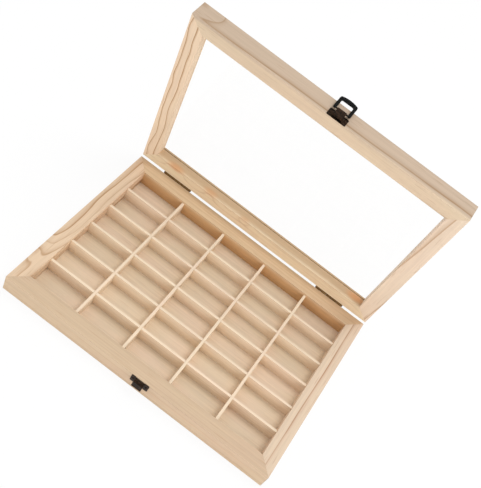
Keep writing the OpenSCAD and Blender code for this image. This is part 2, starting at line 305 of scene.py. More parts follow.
def fromPith(tree, onPiece, use):
    # The rings stray from true circles round the pith.
    across = ringShape["swayAcross"]
    stray = calcVector(tree, "MULTIPLY", onPiece, (1 / use["swayLength"], across, across))
    cloud = addNode(tree, "ShaderNodeTexNoise", {"Vector": stray, "Scale": 1.0, "Detail": 1.5})
    stray = calcVector(tree, "SUBTRACT", cloud.outputs["Color"], (0.5, 0.5, 0.5))
    stray = calcVector(tree, "MULTIPLY", stray, (0, 2 * use["sway"], 2 * use["sway"]))
    logPlace = {
        "Vector": calcVector(tree, "ADD", onPiece, stray),
        "Location": (0, -use["pith"][0], -use["pith"][1]),
        "Rotation": (0, math.radians(use["lean"][0]), math.radians(use["lean"][1])),
    }
    inLog = addNode(tree, "ShaderNodeMapping", logPlace).outputs["Vector"]
    return lengthOf(tree, calcVector(tree, "MULTIPLY", inLog, (0, 1, 1)))


def pushByKnots(tree, onPiece, years, knots):
    # Each knot adds to the years round it, which bends the rings aside.
    shape = knotShape
    knotShare = 0.0
    for at, size, dark in knots:
        away = calcVector(tree, "SUBTRACT", onPiece, at)
        gap = lengthOf(tree, calcVector(tree, "MULTIPLY", away, (shape["long"], 1, 1)))
        push = rangeOf(tree, gap, 0.0, size * shape["pushReach"], shape["push"], 0.0)
        years = calc(tree, "ADD", years, push)
        mine = rangeOf(tree, gap, size * shape["core"], size * shape["rim"], dark, 0.0)
        knotShare = calc(tree, "MAXIMUM", mine, knotShare)
    return years, knotShare


def ringLine(tree, years, use):
    # A dark line sets in softly towards the end of each year and then stops short.
    shape = ringShape
    peak = shape["peak"]
    width = min(shape["widest"], use["lineWidth"] / use["spacing"])
    lines = addNode(tree, "ShaderNodeValToRGB", {"Fac": calc(tree, "FRACT", years)})
    ramp = lines.color_ramp
    ramp.elements[0].position = peak - width
    ramp.elements[0].color = (0, 0, 0, 1)
    ramp.elements[1].position = peak
    ramp.elements[1].color = (1, 1, 1, 1)
    ramp.elements.new(peak - shape["shoulder"] * width).color = shape["shoulderTone"]
    ramp.elements.new(peak + (1 - peak) * min(1.0, 3 * width)).color = (0, 0, 0, 1)
    return lines.outputs["Color"]


def lineStrength(tree, onPiece, years, use):
    # Some years are darker than others, and so are some stretches of the board.
    shape = ringShape
    yearNumber = calc(tree, "FLOOR", years)
    year = addNode(tree, "ShaderNodeTexWhiteNoise", {"W": yearNumber}, noise_dimensions="1D")
    ofYear = rangeOf(tree, year.outputs["Value"], 0.0, 1.0, *shape["yearTone"], smooth=False)
    stretch = drawnOut(tree, onPiece, 0.15, shape["stretchScale"])
    ofStretch = rangeOf(tree, stretch, 0.35, 0.65, *shape["stretchTone"])
    strength = calc(tree, "MULTIPLY", ofYear, ofStretch)
    return calc(tree, "MULTIPLY", strength, use["lineShare"])


def pineMaterial(name, grain, middle, onLid=False, **look):
    use = {**woodBasics, **look}
    fine = fibreLook
    material, tree, shader = newMaterial(name)
    onPiece = placeOnPiece(tree, grain, middle, onLid)
    radius = fromPith(tree, onPiece, use)
    years = calc(tree, "DIVIDE", radius, use["spacing"])
    years, knotShare = pushByKnots(tree, onPiece, years, use["knots"])
    line = ringLine(tree, years, use)

    cloud = drawnOut(tree, onPiece, 0.3, fine["cloudScale"], 1.0)
    colour = mixColour(tree, rangeOf(tree, cloud, 0.40, 0.70, 0.0, use["roseShare"]),
                       use["early"], use["rose"])
    if use["coreReach"]:
        inside = use["coreReach"] - use["coreBlur"]
        outside = use["coreReach"] + use["coreBlur"]
        colour = mixColour(tree, rangeOf(tree, radius, inside, outside, use["coreShare"], 0.0),
                           colour, use["coreTone"])
    lineShare = calc(tree, "MULTIPLY", line, lineStrength(tree, onPiece, years, use))
    colour = mixColour(tree, lineShare, colour, use["late"])

    fibre = drawnOut(tree, onPiece, 0.022, fine["fibreScale"], 2.0, 0.6)
    streak = drawnOut(tree, onPiece, 0.012, fine["streakScale"], 1.0)
    tone = calc(tree, "MULTIPLY",
                rangeOf(tree, fibre, 0.25, 0.75, *fine["fibreTone"], smooth=False),
                rangeOf(tree, streak, 0.30, 0.70, *fine["streakTone"], smooth=False))
    grey = addNode(tree, "ShaderNodeCombineColor", {0: tone, 1: tone, 2: tone}).outputs[0]
    colour = mixColour(tree, 1.0, colour, grey, "MULTIPLY")
    pore = drawnOut(tree, onPiece, 0.05, fine["poreScale"], 0.0)
    colour = mixColour(tree, rangeOf(tree, pore, 0.70, 0.80, 0.0, fine["poreShare"]), colour, use["late"])
    colour = mixColour(tree, knotShare, colour, use["knot"])
    tree.links.new(colour, shader.inputs["Base Color"])

    rough = rangeOf(tree, fibre, 0.2, 0.8, *fine["rough"], smooth=False)
    tree.links.new(rough, shader.inputs["Roughness"])
    shader.inputs["Specular IOR Level"].default_value = fine["specular"]
    height = calc(tree, "ADD", fibre, calc(tree, "MULTIPLY", line, 0.5))
    addBump(tree, shader, height, fine["bump"], fine["bumpDepth"])
    return material


# Bronze

bronzeLook = dict(
    body=(0.014, 0.010, 0.007, 1),
    brown=(0.042, 0.022, 0.013, 1),
    worn=(0.240, 0.165, 0.095, 1),
    wornShare=0.7,
    edge=0.00012,  # reach of the wear from an edge
    cloudScale=420.0,
    speckScale=2600.0,
    metallic=0.75,
    specular=0.08,
    rough=(0.22, 0.44),
    bump=0.25,
    bumpDepth=0.00005,
)


def bronzeMaterial(name, **look):
    use = {**bronzeLook, **look}
    material, tree, shader = newMaterial(name)
    here = addNode(tree, "ShaderNodeTexCoord").outputs["Object"]
    cloud = noise(tree, here, use["cloudScale"], 3.0)
    specks = noise(tree, here, use["speckScale"], 2.0, 0.6)
    colour = mixColour(tree, rangeOf(tree, cloud, 0.35, 0.70), use["body"], use["brown"])
    # Handling rubs the plating thin along the edges.
    soft = addNode(tree, "ShaderNodeBevel", {"Radius": use["edge"]}, samples=4).outputs["Normal"]
    flat = addNode(tree, "ShaderNodeNewGeometry").outputs["Normal"]
    bend = addNode(tree, "ShaderNodeVectorMath", {0: soft, 1: flat}, operation="DOT_PRODUCT")
    rubbed = rangeOf(tree, bend.outputs["Value"], 0.995, 0.80, 0.0, use["wornShare"])
    rubbed = calc(tree, "MULTIPLY", rubbed, rangeOf(tree, cloud, 0.35, 0.60, 0.25, 1.0))
    colour = mixColour(tree, rubbed, colour, use["worn"])
    tree.links.new(colour, shader.inputs["Base Color"])
    shader.inputs["Metallic"].default_value = use["metallic"]
    shader.inputs["Specular IOR Level"].default_value = use["specular"]
    rough = rangeOf(tree, specks, 0.25, 0.75, *use["rough"], smooth=False)
    tree.links.new(rough, shader.inputs["Roughness"])
    addBump(tree, shader, specks, use["bump"], use["bumpDepth"])
    return material


bronze = bronzeMaterial("darkBronze")
hingeBronze = bronzeMaterial(
    "brownHingeBronze", body=(0.130, 0.070, 0.028, 1), brown=(0.230, 0.130, 0.052, 1))
blackBronze = bronzeMaterial(
    "blackBronze", body=(0.005, 0.006, 0.006, 1), brown=(0.014, 0.013, 0.012, 1),
    worn=(0.100, 0.100, 0.095, 1))


# Modelling by hand

hair = 1e-6  # places closer than this count as one
smoothAngle = 32  # degrees
cornerSteps = 5
sheetEase = dict(width=0.00010, angle=50)  # of the edges of cut and rolled metal sheet


def near(first, second):
    return abs(first - second) < hair


def pick(piece):
    if bpy.context.object and bpy.context.object.mode != "OBJECT":
        bpy.ops.object.mode_set(mode="OBJECT")
    bpy.ops.object.select_all(action="DESELECT")
    piece.select_set(True)
    bpy.context.view_layer.objects.active = piece


def named(name):
    made = bpy.context.object
    made.name = name
    made.data.name = name
    bpy.ops.object.transform_apply(location=True, rotation=True, scale=True)
    return made


def addBlock(name, low, high):
    bpy.ops.object.select_all(action="DESELECT")
    low, high = Vector(low), Vector(high)
    bpy.ops.mesh.primitive_cube_add(size=1, location=(low + high) / 2, scale=high - low)
    return named(name)


def addRod(name, middle, radius, length, sides=24):
    # a cylinder along X
    bpy.ops.object.select_all(action="DESELECT")
    bpy.ops.mesh.primitive_cylinder_add(vertices=sides, radius=radius, depth=length,
                                        location=middle, rotation=(0, math.radians(90), 0))
    return named(name)


def addUpright(name, low, high):
    # one upright face, square to Y
    bpy.ops.object.select_all(action="DESELECT")
    low, high = Vector(low), Vector(high)
    size = high - low
    bpy.ops.mesh.primitive_plane_add(size=1, location=(low + high) / 2,
                                     rotation=(math.radians(90), 0, 0))
    bpy.context.object.scale = (size.x, size.z, 1)
    return named(name)


def copyOf(piece, name, move):
    made = piece.copy()
    made.data = piece.data.copy()
    made.name = name
    made.data.name = name
    made.data.transform(Matrix.Translation(move))
    bpy.context.scene.collection.objects.link(made)
    return made


def edit(piece, what="EDGE"):
    pick(piece)
    bpy.ops.object.mode_set(mode="EDIT")
    bpy.ops.mesh.select_mode(type=what)
    bpy.ops.mesh.select_all(action="DESELECT")
    return bmesh.from_edit_mesh(piece.data)


def choose(piece, mesh, test, what="edges"):
    # the test is given the middle of each edge or face, or the vertex's place, and the item
    for item in getattr(mesh, what):
        if what == "verts":
            spot = item.co
        else:
            spot = sum((v.co for v in item.verts), Vector()) / len(item.verts)
        if test(spot, item):
            item.select_set(True)
    mesh.select_flush_mode()
    bmesh.update_edit_mesh(piece.data)


def done():
    bpy.ops.object.mode_set(mode="OBJECT")


def extrude(move):
    bpy.ops.mesh.extrude_region_move(TRANSFORM_OT_translate={"value": move})


def rollRound(centre, axis, degrees, steps):
    # the spin tool counts its angle clockwise about the axis
    bpy.ops.mesh.spin(steps=steps, angle=-math.radians(degrees), center=centre, axis=axis)


def applyLast(piece, modifier):
    pick(piece)
    bpy.ops.object.modifier_apply(modifier=modifier.name)


def boolean(piece, other, operation):
    change = piece.modifiers.new("shape", "BOOLEAN")
    change.operation = operation
    change.solver = "EXACT"
    change.object = other
    applyLast(piece, change)
    bpy.data.objects.remove(other)


def takeAway(piece, cutter):
    boolean(piece, cutter, "DIFFERENCE")


def weldOn(piece, other):
    boolean(piece, other, "UNION")


def easeEdges(piece, width, steps=2, angle=30):
    bevel = piece.modifiers.new("ease", "BEVEL")
    bevel.width = width
    bevel.segments = steps
    bevel.limit_method = "ANGLE"
    bevel.angle_limit = math.radians(angle)
    bevel.miter_outer = "MITER_ARC"
    applyLast(piece, bevel)


def thicken(piece, thickness):
    solid = piece.modifiers.new("sheet", "SOLIDIFY")
    solid.thickness = thickness
    solid.offset = 0
    solid.use_even_offset = True
    applyLast(piece, solid)


def sliceOff(piece, point, away):
    edit(piece)
    bpy.ops.mesh.select_all(action="SELECT")
    bpy.ops.mesh.bisect(plane_co=point, plane_no=away, use_fill=True, clear_outer=True)
    done()


def score(piece, point, across):
    # cuts the faces along a plane and keeps both sides
    edit(piece)
    bpy.ops.mesh.select_all(action="SELECT")
    bpy.ops.mesh.bisect(plane_co=point, plane_no=across)
    done()


def roundCorners(piece, radius, steps, test=lambda spot: True):
    # rounds the edges that run along Y and pass the test
    def passes(spot, edge):
        run = (edge.verts[0].co - edge.verts[1].co).normalized()
        return abs(run.y) > 0.99 and test(spot)

    mesh = edit(piece)
    choose(piece, mesh, passes)
    bpy.ops.mesh.bevel(offset=radius, segments=steps, affect="EDGES")
    done()


def roundTips(piece, radius, test):
    # rounds the vertices of a sheet that pass the test
    mesh = edit(piece, "VERT")
    choose(piece, mesh, lambda spot, v: test(spot), "verts")
    bpy.ops.mesh.bevel(offset=radius, segments=cornerSteps, affect="VERTICES")
    done()


def swingOpen(piece):
    pick(piece)
    piece.matrix_world = openTurn
    bpy.ops.object.transform_apply(location=True, rotation=True, scale=True)


def fit(piece, body, material, node):
    pick(piece)
    bpy.ops.object.shade_smooth_by_angle(angle=math.radians(smoothAngle))
    # broad faces shade flat, and the eased edges take up the turn
    flat = piece.modifiers.new("flatFaces", "WEIGHTED_NORMAL")
    flat.keep_sharp = True
    applyLast(piece, flat)
    piece.data.materials.clear()
    piece.data.materials.append(material)
    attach(piece, body)
    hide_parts(node)


# Rails

outward = dict(
    front=Vector((0, -1, 0)),
    back=Vector((0, 1, 0)),
    left=Vector((-1, 0, 0)),
    right=Vector((1, 0, 0)),
)
railLook = dict(
    ease=0.00035, backEase=0.00015, easeSteps=3, easeAngle=20,
    mitreGap=0.00005,  # leaves the joint as a hairline
)

# Each rail is cut from its own stick, so each has its own figure.
trayPine = dict(
    front=dict(
        early=(0.614, 0.460, 0.308, 1), rose=(0.602, 0.426, 0.298, 1),
        spacing=0.0026, lineShare=0.34, pith=(0.040, -0.014), sway=0.0012, swayLength=0.30),
    back=dict(
        early=(0.645, 0.468, 0.292, 1), rose=(0.640, 0.433, 0.274, 1),
        spacing=0.0021, lineShare=0.38, pith=(-0.012, -0.008), sway=0.0010, swayLength=0.25,
        coreTone=(0.560, 0.297, 0.108, 1), coreReach=0.016, coreShare=0.70),
    left=dict(
        early=(0.730, 0.545, 0.375, 1),
        spacing=0.0058, lineShare=1.35, lineWidth=0.0028,
        pith=(0.016, -0.008), lean=(0.0, 1.2), sway=0.0046, swayLength=0.080,
        knots=(((-0.074, 0.0105, 0.0100), 0.0052, 0.45), ((-0.096, -0.0020, 0.0160), 0.0120, 0.0))),
    right=dict(
        early=(0.700, 0.545, 0.398, 1), rose=(0.695, 0.514, 0.391, 1), late=(0.400, 0.200, 0.105, 1),
        spacing=0.0135, lineShare=1.9, lineWidth=0.0030,
        pith=(-0.022, -0.002), sway=0.0016, swayLength=0.16),
)
lidPine = dict(
    front=dict(
        early=(0.672, 0.526, 0.370, 1), rose=(0.658, 0.492, 0.352, 1), late=(0.350, 0.215, 0.115, 1),
        spacing=0.0179, lineShare=2.2, lineWidth=0.0036,
        pith=(-0.030, 0.020), lean=(0.3, 0.5), sway=0.0026, swayLength=0.13,
        coreTone=(0.500, 0.380, 0.280, 1), coreReach=0.0375, coreBlur=0.0025, coreShare=0.85,
        knots=(((-0.165, -0.0090, 0.0090), 0.0070, 0.0),)),
    back=dict(
        early=(0.775, 0.630, 0.435, 1), rose=(0.765, 0.575, 0.390, 1),
        spacing=0.0046, lineShare=0.34, pith=(-0.0135, 0.000), sway=0.0024, swayLength=0.09,
        # Round its inner face this rail is set darker and warmer, darkest at that face.
        coreTone=(0.470, 0.300, 0.162, 1), coreReach=0.0105, coreShare=0.85,
        knot=(0.590, 0.290, 0.125, 1),
        knots=(((-0.121, -0.0085, -0.0095), 0.0056, 0.80), ((-0.071, -0.0095, -0.0080), 0.0050, 0.62),
               ((-0.020, -0.0080, -0.0090), 0.0036, 0.40), ((0.138, -0.0090, -0.0030), 0.0062, 1.0))),
    left=dict(
        early=(0.765, 0.592, 0.418, 1), rose=(0.750, 0.555, 0.405, 1),
        spacing=0.0082, lineShare=1.45, lineWidth=0.0022,
        pith=(-0.060, -0.005), sway=0.0060, swayLength=0.055),
    right=dict(
        early=(0.750, 0.603, 0.458, 1), rose=(0.745, 0.570, 0.440, 1),
        spacing=0.0130, lineShare=1.3, lineWidth=0.0016,
        pith=(0.018, 0.012), lean=(0.0, -3.5), sway=0.0010, swayLength=0.16),
)


def mitreEnds(rail, side, low, high):
    out = outward[side]
    along = Vector((abs(out.y), abs(out.x), 0))
    for end in (-1, 1):
        corner = Vector([high[i] if (out + along * end)[i] > 0 else low[i] for i in range(3)])
        away = (along * end - out).normalized()
        sliceOff(rail, corner - away * railLook["mitreGap"] / 2, away)


def finishRail(rail, side, low, high):
    ease = railLook["backEase"] if side == "back" else railLook["ease"]
    easeEdges(rail, ease, railLook["easeSteps"], railLook["easeAngle"])
    mitreEnds(rail, side, low, high)


def railPine(name, side, low, high, pine, onLid=False):
    grain = "x" if side in ("front", "back") else "y"
    return pineMaterial(name + side.title(), grain, (low + high) / 2, onLid, **pine[side])


trayLook = dict(
    rebateRoom=0.0002,  # round the floor panel
    cutBelow=0.002,  # past the underside, so that the cut comes out clean
)


def makeTrayRails():
    rebateLow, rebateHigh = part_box("tray_floor")
    room = Vector((trayLook["rebateRoom"], trayLook["rebateRoom"], 0))
    below = Vector((0, 0, trayLook["cutBelow"]))
    for side in outward:
        node = "tray_%s_rail" % side
        low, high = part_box(node)
        rail = addBlock("trayRail." + side, low, high)
        takeAway(rail, addBlock("rebateCutter", rebateLow - room - below, rebateHigh + room))
        finishRail(rail, side, low, high)
        fit(rail, "tray", railPine("pineTray", side, low, high, trayPine), node)


lidLook = dict(
    topBand=0.0079,  # width of the flat outer band of the top face
    lipTop=0.016,  # height of the inner lip, where the slope ends
    grooveRoom=0.0001,
)


def makeLidRails():
    use = lidLook
    paneLow, paneHigh = shutBox("lid_pane")
    around = Vector((use["grooveRoom"], use["grooveRoom"], 0))
    above = Vector((0, 0, use["grooveRoom"]))
    for side, out in outward.items():
        node = "lid_%s_rail" % side
        low, high = shutBox(node)
        rail = addBlock("lidRail." + side, low, high)
        takeAway(rail, addBlock("grooveCutter", paneLow - around, paneHigh + above + around))
        # The top face slopes down from the outer band to the lip over the pane.
        outer = Vector([high[i] if out[i] > 0 else low[i] for i in range(3)])
        inner = Vector([low[i] if out[i] > 0 else high[i] for i in range(3)])
        band = outer - out * use["topBand"]
        band.z = high.z
        drop = high.z - low.z - use["lipTop"]
        width = abs((inner - outer).dot(out)) - use["topBand"]
        sliceOff(rail, band, Vector((-out.x * drop, -out.y * drop, width)).normalized())
        finishRail(rail, side, low, high)
        swingOpen(rail)
        fit(rail, "lid", railPine("pineLid", side, low, high, lidPine, onLid=True), node)


makeTrayRails()
makeLidRails()
print("rails made")


# Floor, dividers and pane

stripPine = dict(
    early=(0.830, 0.675, 0.500, 1), late=(0.600, 0.420, 0.260, 1), rose=(0.820, 0.640, 0.485, 1),
    roseShare=0.7, spacing=0.0024, lineShare=0.20, pith=(0.300, -0.180), sway=0.003, swayLength=0.18,
)
columnPine = {**stripPine, "spacing": 0.0016, "lineWidth": 0.0006, "lineShare": 0.45}
rowPine = {**stripPine, "pith": (0.26, 0.21)}
panelPine = {**stripPine, "early": (0.755, 0.617, 0.450, 1), "pith": (0.05, -0.060),
             "spacing": 0.0040, "lineShare": 0.12}
dividerLook = dict(
    slotRoom=0.0001,
    ease=0.00018,
    patternMiddle=(0, 0, 0.011),  # the strips share one figure, centred on the grid
)
panelEase = 0.0002


def cutSlot(strip, low, high, crossing, fromTop):
    # half the strip's height, and as wide as the strip that crosses it there
    room = dividerLook["slotRoom"]
    slotLow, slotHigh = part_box(crossing)
    half = (low.z + high.z) / 2
    wide = Vector((room, room, 0))
    if fromTop:
        slotLow = Vector((slotLow.x, low.y - room, half))
        slotHigh = Vector((slotHigh.x, high.y + room, high.z + room))
    else:
        slotLow = Vector((low.x - room, slotLow.y, low.z - room))
        slotHigh = Vector((high.x + room, slotHigh.y, half))
    takeAway(strip, addBlock("slotCutter", slotLow - wide, slotHigh + wide))


def makeStrips(family, crossing, wood, fromTop):
    low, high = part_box(family[0])
    strip = addBlock("firstStrip", low, high)
    for name in crossing:
        cutSlot(strip, low, high, name, fromTop)
    easeEdges(strip, dividerLook["ease"])
    for name in family:
        boxLow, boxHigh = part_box(name)
        move = (boxLow + boxHigh) / 2 - (low + high) / 2
        piece = copyOf(strip, name.replace("_divider_", "Strip."), move)
        fit(piece, "tray", wood, name)
    bpy.data.objects.remove(strip)


def makeDividers():
    columns = sorted(n for n in frame["nodes"] if n.startswith("column_divider"))
    rows = sorted(n for n in frame["nodes"] if n.startswith("row_divider"))
    middle = dividerLook["patternMiddle"]
    columnWood = pineMaterial("pineColumnStrip", "y", middle, **columnPine)
    rowWood = pineMaterial("pineRowStrip", "x", middle, **rowPine)
    makeStrips(columns, rows, columnWood, fromTop=False)
    makeStrips(rows, columns, rowWood, fromTop=True)


def makeFloorPanel():
    low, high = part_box("tray_floor")
    panel = addBlock("floorPanel", low, high)
    easeEdges(panel, panelEase)
    wood = pineMaterial("pineFloorPanel", "x", (low + high) / 2, **panelPine)
    fit(panel, "tray", wood, "tray_floor")


paneLook = dict(
    ease=0.00025,
    ior=1.45,
    shineShare=0.35,  # of the mirroring that the bare glass would have
    shineRough=0.02,
    clear=(0.980, 0.985, 0.982, 1),
)


def paneMaterial(name):
    use = paneLook
    material, tree, shader = newMaterial(name)
    tree.nodes.remove(shader)
    glass = {"Color": (1, 1, 1, 1), "Roughness": 0.0, "IOR": use["ior"]}
    through = addNode(tree, "ShaderNodeBsdfRefraction", glass).outputs[0]
    mirror = {"Color": (1, 1, 1, 1), "Roughness": use["shineRough"]}
    shine = addNode(tree, "ShaderNodeBsdfGlossy", mirror).outputs[0]
    # only the face that a ray enters by shines
    backfacing = addNode(tree, "ShaderNodeNewGeometry").outputs["Backfacing"]
    entering = calc(tree, "SUBTRACT", 1.0, backfacing)
    glance = addNode(tree, "ShaderNodeFresnel", {"IOR": use["ior"]}).outputs[0]
    glance = calc(tree, "MULTIPLY", glance, calc(tree, "MULTIPLY", entering, use["shineShare"]))
    seen = mixShader(tree, glance, through, shine)
    # The lamps and the room light the wood behind the pane as if it were open.
    clear = addNode(tree, "ShaderNodeBsdfTransparent", {"Color": use["clear"]}).outputs[0]
    rays = addNode(tree, "ShaderNodeLightPath").outputs
    asOpen = calc(tree, "MAXIMUM", rays["Is Shadow Ray"], rays["Is Diffuse Ray"])
    mixed = mixShader(tree, asOpen, seen, clear)
    tree.links.new(mixed, tree.nodes["Material Output"].inputs["Surface"])
    return material


def makePane():
    low, high = shutBox("lid_pane")
    pane = addBlock("glassPane", low, high)
    easeEdges(pane, paneLook["ease"])
    swingOpen(pane)
    fit(pane, "lid", paneMaterial("clearPane"), "lid_pane")


makeDividers()
makeFloorPanel()
makePane()
print("floor, dividers and pane made")


# Screws

screwLook = dict(
    sides=32,
    dome=0.92, domeSteps=5,  # of the head's height
    taper=2.0,  # length of the point, of the shank's radius
    tip=0.2,  # width of its end, of the shank's width
    recessLong=0.55, recessWide=0.16,  # half sizes, of the head's radius
    recessFloor=0.45,  # of the head's height
)
facingBack = Matrix.Rotation(math.radians(-90), 4, "X")
facingFront = Matrix.Rotation(math.radians(90), 4, "X")


def makeScrew(name, headRadius, headHeight, shankRadius, length):
    # Stands on zero with its shank down. The head is domed and has a cross recess.
    use = screwLook
    bpy.ops.object.select_all(action="DESELECT")
    bpy.ops.mesh.primitive_cylinder_add(vertices=use["sides"], radius=headRadius, depth=headHeight,
                                        location=(0, 0, headHeight / 2))
    screw = named(name)
    mesh = edit(screw)
    choose(screw, mesh, lambda spot, e: all(near(v.co.z, headHeight) for v in e.verts))
    bpy.ops.mesh.bevel(offset=headHeight * use["dome"], offset_type="WIDTH",
                       segments=use["domeSteps"], affect="EDGES")
    mesh = edit(screw, "FACE")
    choose(screw, mesh, lambda spot, f: f.normal.z < -0.9, "faces")
    bpy.ops.mesh.inset(thickness=headRadius - shankRadius)
    taper = shankRadius * use["taper"]
    extrude((0, 0, taper - length))
    extrude((0, 0, -taper))
    bpy.ops.transform.resize(value=(use["tip"], use["tip"], 1))
    done()
    arm, wide = headRadius * use["recessLong"], headRadius * use["recessWide"]
    floorZ, overTop = headHeight * use["recessFloor"], headHeight * 2
    for x, y in ((arm, wide), (wide, arm)):
        takeAway(screw, addBlock("recess", (-x, -y, floorZ), (x, y, overTop)))
    return screw


def makeScrewGroup(name, size, places, turn, body, material, node):
    first = makeScrew("patternScrew", **size)
    first.data.transform(turn)
    pieces = [copyOf(first, name if i == 0 else name + str(i), at) for i, at in enumerate(places)]
    bpy.data.objects.remove(first)
    pick(pieces[0])
    for piece in pieces:
        piece.select_set(True)
    bpy.ops.object.join()
    group = bpy.context.object
    if body == "lid":
        swingOpen(group)
    fit(group, body, material, node)


# Hinges

hinge = dict(
    knuckles=5, knuckleGap=0.0002, knuckleRadius=0.00162,
    notchRoom=0.00025,  # between a leaf and the other leaf's knuckles
    sheet=0.0007, corner=0.0012,
    rolled=300, rollSteps=22,  # degrees of a knuckle's curl
    pinRadius=0.0008, pinHead=0.0006, pinEase=dict(width=0.00015, angle=50),
    screwSpacing=0.0115,
    screw=dict(headRadius=0.0020, headHeight=0.0006, shankRadius=0.0009, length=0.009),
)


def knuckleSpans(low, high, first):
    # from and to, along X, of every second knuckle
    count = hinge["knuckles"]
    pitch = (high.x - low.x) / count
    room = hinge["knuckleGap"] / 2
    return [(low.x + i * pitch + room, low.x + (i + 1) * pitch - room) for i in range(first, count, 2)]


def makeLeaf(name, node, onLid):
    use = hinge
    low, high = shutBox(node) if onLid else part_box(node)
    hang = 1 if onLid else -1  # the tray's leaf hangs below the pin, the lid's stands above it
    pinY, pinZ = hingePoint.y, hingePoint.z
    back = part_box("tray_back_rail")[1].y
    sheetY = back + use["sheet"] / 2
    edgeZ = high.z if onLid else low.z
    notchZ = pinZ + hang * (use["knuckleRadius"] + use["notchRoom"])
    leaf = addUpright(name, (low.x, sheetY, min(edgeZ, pinZ)), (high.x, sheetY, max(edgeZ, pinZ)))
    mine = knuckleSpans(low, high, 1 if onLid else 0)
    for span in mine:
        for x in span:
            score(leaf, (x, 0, 0), (1, 0, 0))
    score(leaf, (0, 0, notchZ), (0, 0, 1))

    def isNotch(spot, face):
        return (spot.z - notchZ) * hang < 0 and not any(a < spot.x < b for a, b in mine)

    mesh = edit(leaf, "FACE")
    choose(leaf, mesh, isNotch, "faces")
    bpy.ops.mesh.delete(type="FACE")
    roundTips(leaf, use["corner"],
              lambda spot: near(spot.z, edgeZ) and (near(spot.x, low.x) or near(spot.x, high.x)))
    # Each strip leans out a little and then rolls round the pin.
    mesh = edit(leaf)
    choose(leaf, mesh, lambda spot, e: all(near(v.co.z, pinZ) for v in e.verts))
    roll = use["knuckleRadius"] - use["sheet"] / 2
    bpy.ops.transform.translate(value=(0, pinY - roll - sheetY, 0))
    rollRound((0, pinY, pinZ), (hang, 0, 0), use["rolled"], use["rollSteps"])
    done()
    thicken(leaf, use["sheet"])
    easeEdges(leaf, **sheetEase)
    if onLid:
        swingOpen(leaf)
    fit(leaf, "lid" if onLid else "tray", hingeBronze, node)
    middle = (low.x + high.x) / 2
    screwZ = (edgeZ + pinZ + hang * use["knuckleRadius"]) / 2
    return [Vector((middle + s * use["screwSpacing"], back + use["sheet"], screwZ)) for s in (-1, 1)]


def makeHingePin(name, node):
    use = hinge
    low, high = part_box(node)
    headRadius = (high.z - low.z) / 2
    leftHead, rightHead = low.x + use["pinHead"], high.x - use["pinHead"]
    pin = addRod(name, (low + high) / 2, use["pinRadius"], high.x - low.x)
    for x in (leftHead, rightHead):
        score(pin, (x, 0, 0), (1, 0, 0))
    mesh = edit(pin, "FACE")
    choose(pin, mesh, lambda spot, f: abs(f.normal.x) < 0.5 and not leftHead < spot.x < rightHead, "faces")
    swell = {"value": headRadius - use["pinRadius"], "use_even_offset": True}
    bpy.ops.mesh.extrude_region_shrink_fatten(TRANSFORM_OT_shrink_fatten=swell)
    done()
    easeEdges(pin, **use["pinEase"])
    fit(pin, "tray", hingeBronze, node)


def makeHinges():
    trayScrews, lidScrews = [], []
    for side in ("left", "right"):
        trayScrews += makeLeaf("hingeTrayLeaf." + side, side + "_hinge_tray_leaf", onLid=False)
        lidScrews += makeLeaf("hingeLidLeaf." + side, side + "_hinge_lid_leaf", onLid=True)
        makeHingePin("hingePin." + side, side + "_hinge_pin")
    size = hinge["screw"]
    makeScrewGroup("hingeTrayScrews", size, trayScrews, facingBack, "tray", hingeBronze, "hinge_tray_screws")
    makeScrewGroup("hingeLidScrews", size, lidScrews, facingBack, "lid", hingeBronze, "hinge_lid_screws")


makeHinges()
print("hinges made")


# Latch

latch = dict(
    sheet=0.0008, corner=0.0012, plateEase=dict(width=0.00010, angle=40),
    earThickness=0.0009, earRadius=0.0021, earSides=40,
    pinRadius=0.0008, pinProud=0.0001, pinEase=dict(width=0.0002, steps=3, angle=50),
    leverSheet=0.00074, eyeRadius=0.0012,
    rolled=300, rollSteps=18,  # degrees of the lever's two curls
    screw=dict(headRadius=0.0014, headHeight=0.0005, shankRadius=0.0007, length=0.007),
)
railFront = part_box("tray_front_rail")[0].y


def makeEar(side, tip, face, top):
    # a bent ear, sloped above and rounded round the pin
    use = latch
    inner = tip - side * use["earThickness"]
    ear = addBlock("ear", (min(tip, inner), leverPin.y, leverPin.z - use["earRadius"]),
                   (max(tip, inner), face, top))
    rise = top - leverPin.z - use["earRadius"]
    reach = railFront - use["sheet"] - leverPin.y
    sliceOff(ear, (0, leverPin.y, leverPin.z + use["earRadius"]), Vector((0, -rise, reach)).normalized())
    middle = ((tip + inner) / 2, leverPin.y, leverPin.z)
    weldOn(ear, addRod("earEnd", middle, use["earRadius"], use["earThickness"], use["earSides"]))
    return ear


def makeLatchPlate():
    use = latch
    low, high = shutBox("latch_plate")
    pinLow, pinHigh = shutBox("latch_pin")
    front = railFront - use["sheet"]
    plate = addBlock("latchPlate", (low.x, front, low.z), (high.x, railFront, high.z))
    roundCorners(plate, use["corner"], cornerSteps)
    insideSheet = railFront - use["sheet"] / 2
    for side in (-1, 1):
        tip = pinHigh.x - use["pinProud"] if side > 0 else pinLow.x + use["pinProud"]
        weldOn(plate, makeEar(side, tip, insideSheet, high.z - use["corner"]))
    easeEdges(plate, **use["plateEase"])
    swingOpen(plate)
    fit(plate, "lid", bronze, "latch_plate")
    middleZ = (low.z + high.z) / 2
    spots = [Vector(((pinEnd + rim) / 2, front, middleZ))
             for pinEnd, rim in ((pinLow.x, low.x), (pinHigh.x, high.x))]
    makeScrewGroup("latchScrews", use["screw"], spots, facingFront, "lid", bronze, "latch_screws")


def makeLatchPin():
    use = latch
    low, high = shutBox("latch_pin")
    pin = addRod("latchPin", (low + high) / 2, use["pinRadius"], high.x - low.x)
    easeEdges(pin, **use["pinEase"])
    swingOpen(pin)
    fit(pin, "lid", bronze, "latch_pin")


